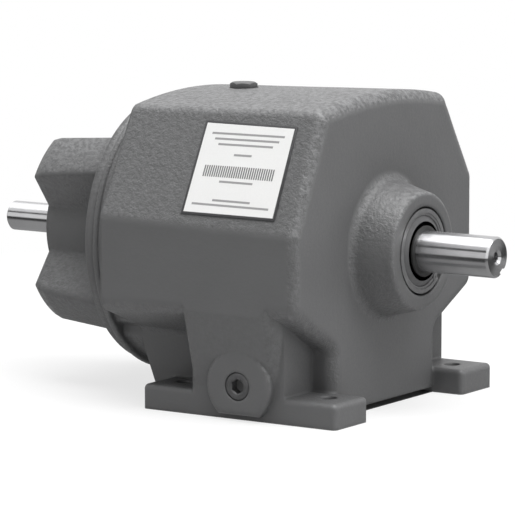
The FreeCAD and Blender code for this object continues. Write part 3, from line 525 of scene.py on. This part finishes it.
# A plain finish has a name, a colour, a roughness and a share of metal
finishes = {
    "housing_paint": cast_paint("cast_paint", cast_edge),
    "bracket_paint": cast_paint("bracket_paint", bracket_edge),
    "gasket_fibre": plain_finish("fibre", (0.05, 0.047, 0.043), 0.8, 0.0),
    "zinc_steel": plain_finish("zinc_plate", (0.48, 0.48, 0.49), 0.34, 1.0),
    "ground_steel": turned_steel("ground_steel", (0.6, 0.6, 0.61), 0.25),
    "bare_iron": plain_finish("bare_iron", (0.2, 0.2, 0.2), 0.5, 1.0),
    "black_steel": plain_finish("phosphate_steel", (0.13, 0.13, 0.132), 0.45, 0.15),
    "plug_paint": plain_finish("plug_paint", (0.075, 0.075, 0.077), 0.5, 0.0),
    "plug_steel": plain_finish("plug_steel", (0.09, 0.09, 0.092), 0.36, 0.4),
    "label_film": plain_finish("label_film", film_white, 0.4, 0.0),
    "seal_steel": plain_finish("seal_steel", (0.14, 0.14, 0.142), 0.45, 0.2),
    "seal_rubber": plain_finish("seal_rubber", (0.018, 0.018, 0.018), 0.5, 0.0),
    "oversprayed_rubber": plain_finish("oversprayed_rubber", (0.075, 0.075, 0.077), 0.5, 0.0),
    "gear_steel": plain_finish("gear_steel", (0.5, 0.5, 0.51), 0.28, 1.0),
    "key_steel": plain_finish("key_steel", (0.45, 0.45, 0.46), 0.35, 1.0),
    "bearing_steel": plain_finish("bearing_steel", (0.62, 0.62, 0.63), 0.16, 1.0),
    "ball_steel": plain_finish("ball_steel", (0.7, 0.7, 0.71), 0.1, 1.0),
    "cage_steel": plain_finish("cage_steel", (0.42, 0.4, 0.36), 0.36, 1.0),
}

own_finish = {"input_bracket": "bracket_paint"}
for entry in frame["record"]["subparts"]:
    node = frame["nodes"][entry["node"]]
    for holder in node.material_slots:
        holder.material = finishes[own_finish.get(entry["node"], entry["material_slot"])]


# Modelling by hand


def select_only(piece):
    """Deselect everything and make one piece the active one."""
    bpy.ops.object.select_all(action="DESELECT")
    piece.select_set(True)
    bpy.context.view_layer.objects.active = piece


def open_mesh(piece):
    """Enter edit mode on a piece with nothing selected."""
    select_only(piece)
    bpy.ops.object.mode_set(mode="EDIT")
    bpy.ops.mesh.select_all(action="DESELECT")


def close_mesh():
    """Leave edit mode."""
    bpy.ops.object.mode_set(mode="OBJECT")


def pick_faces(piece, wanted):
    """Select the faces whose middle and normal pass a test."""
    bpy.ops.mesh.select_mode(type="FACE")
    mesh = bmesh.from_edit_mesh(piece.data)
    mesh.normal_update()
    for face in mesh.faces:
        face.select_set(wanted(face.calc_center_median(), face.normal))
    bmesh.update_edit_mesh(piece.data)


def pick_edges(piece, wanted):
    """Select the edges whose two ends pass a test."""
    bpy.ops.mesh.select_mode(type="EDGE")
    mesh = bmesh.from_edit_mesh(piece.data)
    for edge in mesh.edges:
        edge.select_set(wanted(edge.verts[0].co, edge.verts[1].co))
    bmesh.update_edit_mesh(piece.data)


def settle(name):
    """Name the newest piece and keep its place and size in its mesh."""
    piece = bpy.context.object
    piece.name = name
    bpy.ops.object.transform_apply(location=True, rotation=True, scale=True)
    return piece


def add_cylinder(name, radius, low, high, sides=round_sides):
    """A cylinder along Z between two heights."""
    bpy.ops.object.select_all(action="DESELECT")
    middle = (0.0, 0.0, (low + high) / 2)
    bpy.ops.mesh.primitive_cylinder_add(vertices=sides, radius=radius, depth=high - low, location=middle)
    return settle(name)


def add_cone(name, low_radius, high_radius, low, high, sides=round_sides):
    """A cone along Z between two heights."""
    bpy.ops.object.select_all(action="DESELECT")
    middle = (0.0, 0.0, (low + high) / 2)
    bpy.ops.mesh.primitive_cone_add(
        vertices=sides, radius1=low_radius, radius2=high_radius, depth=high - low, location=middle)
    return settle(name)


def add_block(name, low, high):
    """A block between two corners."""
    bpy.ops.object.select_all(action="DESELECT")
    low, high = Vector(low), Vector(high)
    bpy.ops.mesh.primitive_cube_add(size=1.0, location=(low + high) / 2)
    bpy.context.object.scale = high - low
    return settle(name)


def carve(piece, tool, operation):
    """Cut, keep or join a piece with a tool shape, and clear the tool away."""
    select_only(piece)
    bpy.ops.object.modifier_add(type="BOOLEAN")
    cut = piece.modifiers[-1]
    cut.operation = operation
    cut.object = tool
    bpy.ops.object.modifier_apply(modifier=cut.name)
    bpy.data.objects.remove(tool)


def break_edges(piece, width, segments=2):
    """A small rounding on every sharp edge."""
    select_only(piece)
    bpy.ops.object.modifier_add(type="BEVEL")
    edge = piece.modifiers[-1]
    edge.width = width
    edge.segments = segments
    edge.limit_method = "ANGLE"
    edge.angle_limit = edge_angle
    bpy.ops.object.modifier_apply(modifier=edge.name)


def smooth(piece):
    """Smooth shading that keeps the sharp edges."""
    select_only(piece)
    bpy.ops.object.shade_smooth_by_angle(angle=smooth_angle)


def lay(piece, place, turn=(0.0, 0.0, 0.0)):
    """Turn a piece and set it at a place, with the place kept in its mesh."""
    select_only(piece)
    piece.rotation_euler = turn
    piece.location = place
    bpy.ops.object.transform_apply(location=True, rotation=True, scale=True)


def copy_of(piece, name):
    """A copy of a piece with a mesh of its own."""
    twin = bpy.data.objects.new(name, piece.data.copy())
    bpy.context.scene.collection.objects.link(twin)
    return twin


def open_copy(node, name):
    """A copy of a solid's mesh, open for editing, with its doubled points merged and all of it selected."""
    twin = copy_of(frame["nodes"][node], name)
    open_mesh(twin)
    bpy.ops.mesh.select_all(action="SELECT")
    bpy.ops.mesh.remove_doubles(threshold=merge_distance)
    return twin


def join(pieces, name):
    """Several meshes as one piece."""
    select_only(pieces[0])
    for piece in pieces:
        piece.select_set(True)
    bpy.ops.object.join()
    pieces[0].name = name
    return pieces[0]


def give_finishes(piece, *names):
    """Put finishes on a piece, the first of them on all its faces."""
    piece.data.materials.clear()
    for name in names:
        piece.data.materials.append(finishes[name])


def assign_finish(piece, number):
    """Give the selected faces of an open piece one of its finishes."""
    piece.active_material_index = number
    bpy.ops.object.material_slot_assign()


def stand_for(piece, node):
    """Let a finished piece ride on the housing in place of a node."""
    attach(piece, "housing")
    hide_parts(node)


def dress(piece, node, slot):
    """Give a finished piece one finish and let it stand for a node."""
    give_finishes(piece, slot)
    stand_for(piece, node)


def box_middle(node):
    """The middle of a node's box."""
    low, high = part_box(node)
    return (low + high) / 2


def hex_head(name, width, height):
    """A hexagon head on the plane z = 0 with its top corners turned off."""
    head = add_cylinder(name, width / 2 * hex_corner, 0.0, height, hex_sides)
    top_radius = width * chamfer_share
    low_radius = top_radius + (height + edge_break) * chamfer_run
    carve(head, add_cone("collar", low_radius, top_radius, -edge_break, height), "INTERSECT")
    break_edges(head, edge_break)
    return head


def fill_plug_piece():
    """The filler plug: a turned-off hexagon head over a plain shank."""
    low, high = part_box("fill_plug")
    middle = box_middle("fill_plug")
    head = hex_head("plug_head", fill_head_width, fill_head_height)
    shank = add_cylinder("plug_shank", fill_shank_radius, low.z - high.z + fill_head_height, edge_break)
    plug = join([head, shank], "filler_plug")
    smooth(plug)
    lay(plug, (middle.x, middle.y, high.z - fill_head_height))
    dress(plug, "fill_plug", "plug_paint")


def drain_plug_piece():
    """The drain plug: a chamfered round head with a hexagon socket."""
    middle = box_middle("drain_plug")
    outer_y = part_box("drain_plug")[0].y
    plug = add_cylinder("drain_socket_plug", drain_radius, -drain_length, 0.0, plug_sides)
    open_mesh(plug)
    pick_edges(plug, lambda first, second: first.z > -edge_break and second.z > -edge_break)
    bpy.ops.mesh.bevel(offset=drain_chamfer, segments=1)
    close_mesh()
    mouth = drain_socket_width / 2 * hex_corner
    carve(plug, add_cylinder("socket", mouth, -drain_socket_depth, past, hex_sides), "DIFFERENCE")
    low_radius = mouth * mouth_low_share
    high_radius = mouth * mouth_high_share
    carve(plug, add_cone("mouth", low_radius, high_radius, -mouth_depth, mouth_rise), "DIFFERENCE")
    break_edges(plug, edge_break)
    smooth(plug)
    lay(plug, (middle.x, outer_y, middle.z), (math.pi / 2, 0.0, 0.0))
    dress(plug, "drain_plug", "plug_steel")


def spread_round(first, node, x, turn, name, joined_name):
    """Copies of a piece at the four bracket screws, each turned a little further, as one piece in zinc."""
    middle = box_middle(node)
    copies = []
    for number in range(screw_count):
        angle = number * 2 * math.pi / screw_count
        y = middle.y + screw_circle * math.cos(angle)
        z = middle.z + screw_circle * math.sin(angle)
        twin = copy_of(first, f"{name}_{number}")
        lay(twin, (0.0, 0.0, 0.0), (0.0, 0.0, turn * number))
        lay(twin, (x, y, z), (0.0, -math.pi / 2, 0.0))
        copies.append(twin)
    bpy.data.objects.remove(first)
    dress(join(copies, joined_name), node, "zinc_steel")


def bracket_screw_pieces():
    """Four hexagon screws, modelled once and copied to their places."""
    low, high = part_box("bracket_screws")
    head = hex_head("screw_head", screw_head_width, screw_head_height)
    length = high.x - low.x - screw_head_height
    shank = add_cylinder("screw_shank", screw_shank_radius, -length, edge_break, shank_sides)
    break_edges(shank, 2 * edge_break)
    first = join([head, shank], "bracket_screw")
    smooth(first)
    under_head_x = low.x + screw_head_height
    spread_round(first, "bracket_screws", under_head_x, screw_turn, "bracket_screw", "hexagon_screws")


def lock_washer_pieces():
    """Four split washers, modelled once and copied to their places."""
    seat_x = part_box("bracket_lock_washers")[1].x
    first = add_cylinder("washer", washer_radius, 0.0, washer_thickness)
    carve(first, add_cylinder("bore", washer_bore, -past, 2 * washer_thickness), "DIFFERENCE")
    half_gap = Vector((washer_radius / 2, washer_gap / 2, 2 * washer_thickness))
    gap = add_block("gap", -half_gap, half_gap)
    lay(gap, ((washer_radius + washer_bore) / 2, 0.0, washer_thickness / 2), (washer_slant, 0.0, 0.0))
    carve(first, gap, "DIFFERENCE")
    break_edges(first, edge_break)
    smooth(first)
    spread_round(first, "bracket_lock_washers", seat_x, washer_turn, "split_washer", "split_washers")


def label_piece():
    """The label: a pale film in a narrow dark border of painted shadow, on the sloping panel."""
    low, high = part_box("nameplate")
    middle = box_middle("nameplate")
    up = Vector((0.0, high.y - low.y, high.z - low.z)).normalized()
    outward = Vector((0.0, -up.z, up.y))
    label = open_copy("nameplate", "label_film")
    label.data.materials.clear()
    label.data.materials.append(label_finish(middle, up))
    # The dark border round the film is painted shadow
    label.data.materials.append(plain_finish("film_border_shadow", border_shadow_grey, border_roughness, 0.0))
    bpy.ops.mesh.dissolve_limited(angle_limit=film_flatness)
    pick_faces(label, lambda centre, normal: normal.dot(outward) < film_facing)
    bpy.ops.mesh.delete(type="FACE")
    pick_faces(label, lambda centre, normal: True)
    wider = 1 + 2 * label_border / (high.x - low.x)
    taller = 1 + 2 * label_border / (high.z - low.z)
    bpy.ops.transform.resize(value=(wider, taller, taller), center_override=middle)
    assign_finish(label, 1)
    bpy.ops.mesh.inset(thickness=label_border)
    assign_finish(label, 0)
    bpy.ops.mesh.select_all(action="SELECT")
    bpy.ops.mesh.extrude_region_move(TRANSFORM_OT_translate={"value": -label_depth * outward})
    bpy.ops.mesh.select_all(action="SELECT")
    bpy.ops.mesh.normals_make_consistent(inside=False)
    close_mesh()
    break_edges(label, edge_break)
    smooth(label)
    stand_for(label, "nameplate")


def shaft_height():
    """The height of the main axis."""
    return box_middle("output_seal_lip").z


def along_main(piece):
    """Turn a piece modelled along Z to the main axis, with its z = 0 on the boss face."""
    boss_face_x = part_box("output_retaining_ring")[1].x + ring_setback
    lay(piece, (boss_face_x, 0.0, shaft_height()), (0.0, math.pi / 2, 0.0))


def seal_cylinder(name, radius, low, high):
    """A finely divided cylinder for the output seal."""
    return add_cylinder(name, radius, low, high, fine_sides)


def seal_lip_piece():
    """The rubber of the output seal: an oversprayed slope, a dark gap and a dust lip round the shaft."""
    lip = seal_cylinder("dust_lip", seal_rubber_radius, -seal_rubber_depth, -seal_rubber_sink)
    slope = add_cone("slope", seal_rubber_radius, slope_radius, -seal_rubber_sink, slope_rise, fine_sides)
    carve(lip, slope, "UNION")
    gap_radius = slope_radius - dust_lip_round
    carve(lip, seal_cylinder("lip_gap", gap_radius, -lip_gap_depth, through), "DIFFERENCE")
    carve(lip, seal_cylinder("collar", dust_lip_radius, -seal_rubber_depth, dust_lip_rise), "UNION")
    room_end = dust_lip_rise - dust_lip_wall
    carve(lip, seal_cylinder("journal_room", journal_radius, -through, room_end), "DIFFERENCE")
    carve(lip, seal_cylinder("shaft_room", shaft_room_radius, -through, through), "DIFFERENCE")
    break_edges(lip, dust_lip_round, seal_round_segments)
    smooth(lip)
    give_finishes(lip, "seal_rubber", "oversprayed_rubber")
    stand_for(lip, "output_seal_lip")
    open_mesh(lip)
    pick_faces(lip, lambda centre, normal: centre.xy.length > slope_radius - dust_lip_round / 2)
    assign_finish(lip, 1)
    close_mesh()
    along_main(lip)


def seal_case_piece():
    """The pressed case of the output seal, a shallow cup whose rim is rolled over."""
    case = seal_cylinder("seal_cup", seal_case_radius, -seal_case_depth, -seal_case_sink)
    carve(case, seal_cylinder("cup_opening", seal_rubber_radius, -through, through), "DIFFERENCE")
    break_edges(case, seal_case_round, seal_round_segments)
    smooth(case)
    along_main(case)
    dress(case, "output_seal_case", "seal_steel")


def retaining_ring_piece():
    """The output retaining ring, sprung in just behind the boss face."""
    ring = open_copy("output_retaining_ring", "sprung_ring")
    axis = (0.0, 0.0, shaft_height())
    bpy.ops.transform.resize(value=(1.0, ring_shrink, ring_shrink), center_override=axis)
    bpy.ops.transform.translate(value=(ring_shift, 0.0, 0.0))
    close_mesh()
    smooth(ring)
    dress(ring, "output_retaining_ring", "black_steel")


def rim_band_piece():
    """The band of the casting that joins the upper part of the rear rim to the body."""
    flange_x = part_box("bracket_gasket")[1].x + rim_flange_length
    band = add_cylinder("rim_band", rim_band_radius, 0.0, rim_band_length, rim_sides)
    inner = rim_band_radius - rim_band_wall
    neck_room = add_cylinder("neck_room", inner, -rim_band_length, 2 * rim_band_length, rim_sides)
    carve(band, neck_room, "DIFFERENCE")
    below = add_block("below", (rim_band_drop, -through, -through), (through, through, through))
    carve(band, below, "DIFFERENCE")
    break_edges(band, rim_band_round)
    smooth(band)
    lay(band, (flange_x, 0.0, shaft_height()), (0.0, math.pi / 2, 0.0))
    give_finishes(band, "housing_paint")
    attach(band, "housing")


fill_plug_piece()
drain_plug_piece()
retaining_ring_piece()
rim_band_piece()
seal_lip_piece()
seal_case_piece()
bracket_screw_pieces()
lock_washer_pieces()
label_piece()


# Studio


def seen_or_mirrored(tree):
    """One where a ray comes from the camera, a mirror or glass, and nought elsewhere."""
    path = tree.nodes.new("ShaderNodeLightPath")
    seen = maths(tree, "MAXIMUM", path.outputs["Is Camera Ray"], path.outputs["Is Glossy Ray"])
    return maths(tree, "MAXIMUM", seen, path.outputs["Is Transmission Ray"])


def white_world():
    """A white surround that lights the object only softly."""
    world = bpy.data.worlds.new("studio")
    bpy.context.scene.world = world
    world.use_nodes = True
    tree = world.node_tree
    sky = tree.nodes["Background"]
    sky.inputs["Color"].default_value = (*grey(1.0), 1.0)
    strength = spread(tree, seen_or_mirrored(tree), 0.0, 1.0, world_fill, 1.0)
    tree.links.new(strength, sky.inputs["Strength"])


def floor_finish():
    """Pale floor paint, painted dark as shadow under the middle of the object, that glows white where the
    camera sees it.
    """
    finish, tree, shader, place = start_finish("floor")
    along = across(tree, place, (1.0, 0.0, 0.0))
    aside = across(tree, place, (0.0, 1.0, 0.0))
    under = bar(tree, along, aside, under_middle, under_half)
    # Painted shadow: dark floor paint under the middle of the object
    tone = blended(tree, under, grey(floor_colour), grey(under_shadow_grey))
    tree.links.new(tone, shader.inputs["Base Color"])
    shader.inputs["Roughness"].default_value = floor_roughness
    shader.inputs["Specular IOR Level"].default_value = 0.0
    glow = tree.nodes.new("ShaderNodeEmission")
    mix = tree.nodes.new("ShaderNodeMixShader")
    away = distance_from_middle(tree, place)
    white = spread(tree, away, floor_near, floor_far, floor_white_near, floor_white_far)
    white = maths(tree, "MULTIPLY", white, maths(tree, "SUBTRACT", 1.0, under))
    tree.links.new(maths(tree, "MULTIPLY", white, seen_or_mirrored(tree)), mix.inputs["Fac"])
    tree.links.new(shader.outputs["BSDF"], mix.inputs[1])
    tree.links.new(glow.outputs["Emission"], mix.inputs[2])
    tree.links.new(mix.outputs["Shader"], tree.nodes["Material Output"].inputs["Surface"])
    return finish


def pale_floor():
    """A large pale floor that keeps a light shadow near the object and is white beyond it."""
    bpy.ops.object.select_all(action="DESELECT")
    bpy.ops.mesh.primitive_plane_add(size=2 * floor_reach, location=(0.0, 0.0, floor_level))
    floor = bpy.context.object
    floor.name = "floor"
    floor.data.materials.append(floor_finish())


def card_finish(name, width, greys):
    """A glow whose grey changes with the distance from a card's long middle line."""
    finish, tree, _, spot = start_finish(name)
    glow = tree.nodes.new("ShaderNodeEmission")
    away = maths(tree, "ABSOLUTE", across(tree, spot, (0.0, 2 / width, 0.0)), 0.0)
    stops = [(position, grey(level)) for position, level in greys]
    tree.links.new(colours(tree, away, stops), glow.inputs["Color"])
    tree.links.new(glow.outputs["Emission"], tree.nodes["Material Output"].inputs["Surface"])
    return finish


def mirror_card(name, place, size, turn, greys):
    """A dark card that only bright metal sees."""
    bpy.ops.object.select_all(action="DESELECT")
    bpy.ops.mesh.primitive_plane_add(size=1.0)
    card = bpy.context.object
    card.name = name
    card.scale = (*size, 1.0)
    bpy.ops.object.transform_apply(location=False, rotation=False, scale=True)
    card.location = place
    card.rotation_euler = turn
    card.data.materials.append(card_finish(name, size[1], greys))
    card.visible_camera = False
    card.visible_diffuse = False
    card.visible_shadow = False
    card.visible_transmission = False


def soft_lamp(name, place, size, power):
    """A square area lamp that points at the object."""
    data = bpy.data.lights.new(name, "AREA")
    data.size = size
    data.energy = power
    lamp = bpy.data.objects.new(name, data)
    bpy.context.scene.collection.objects.link(lamp)
    lamp.location = place
    lamp.rotation_mode = "QUATERNION"
    lamp.rotation_quaternion = (Vector(lamp_aim) - Vector(place)).to_track_quat("-Z", "Y")


def photo_camera():
    """The camera at the photograph's viewing angle."""
    back = Vector((
        math.sin(camera_azimuth) * math.cos(camera_elevation),
        -math.cos(camera_azimuth) * math.cos(camera_elevation),
        math.sin(camera_elevation),
    ))
    data = bpy.data.cameras.new("camera")
    data.sensor_width = camera_sensor
    data.lens = camera_lens
    data.clip_end = camera_sight
    camera = bpy.data.objects.new("camera", data)
    bpy.context.scene.collection.objects.link(camera)
    camera.location = camera_target + back * camera_distance
    camera.rotation_mode = "QUATERNION"
    camera.rotation_quaternion = (-back).to_track_quat("-Z", "Y")
    bpy.context.scene.camera = camera


white_world()
pale_floor()
for lamp in lamps:
    soft_lamp(*lamp)
mirror_card("floor_card", floor_card_place, floor_card_size, floor_card_turn, floor_card_greys)
mirror_card("high_card", high_card_place, high_card_size, high_card_turn, high_card_greys)
photo_camera()

bpy.context.scene.view_settings.view_transform = "Standard"
